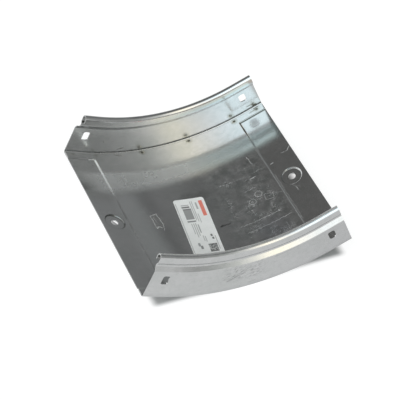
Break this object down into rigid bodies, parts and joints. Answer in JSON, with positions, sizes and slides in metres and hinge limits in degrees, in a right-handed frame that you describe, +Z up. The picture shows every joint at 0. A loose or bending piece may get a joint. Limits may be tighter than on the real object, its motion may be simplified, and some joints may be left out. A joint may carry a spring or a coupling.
{
  "type": "cable tray bend",
  "caption": "Vertical inside bend for sheet-steel cable tray: floor curved upward between two side walls with rolled edges, dimpled bolt holes and bolt slots.",
  "frame": {"origin": "middle of the lowest line of the underside, between the ends and between the side walls", "axes": "+X along the tray towards its right end, +Y across it towards the left side wall, +Z up, out of the open side of the bend"},
  "size_m": [0.219, 0.214, 0.0722],
  "materials": {
    "floor_zinc": "bright galvanised sheet, lightly scratched",
    "left_wall_zinc": "bright galvanised sheet",
    "right_wall_zinc": "bright galvanised sheet",
    "label_paper": "smooth white label paper"
  },
  "bodies": {
    "root": {"floor_plate": "floor_zinc", "left_side_wall": "left_wall_zinc", "right_side_wall": "right_wall_zinc", "label": "label_paper"}
  },
  "joints": []
}
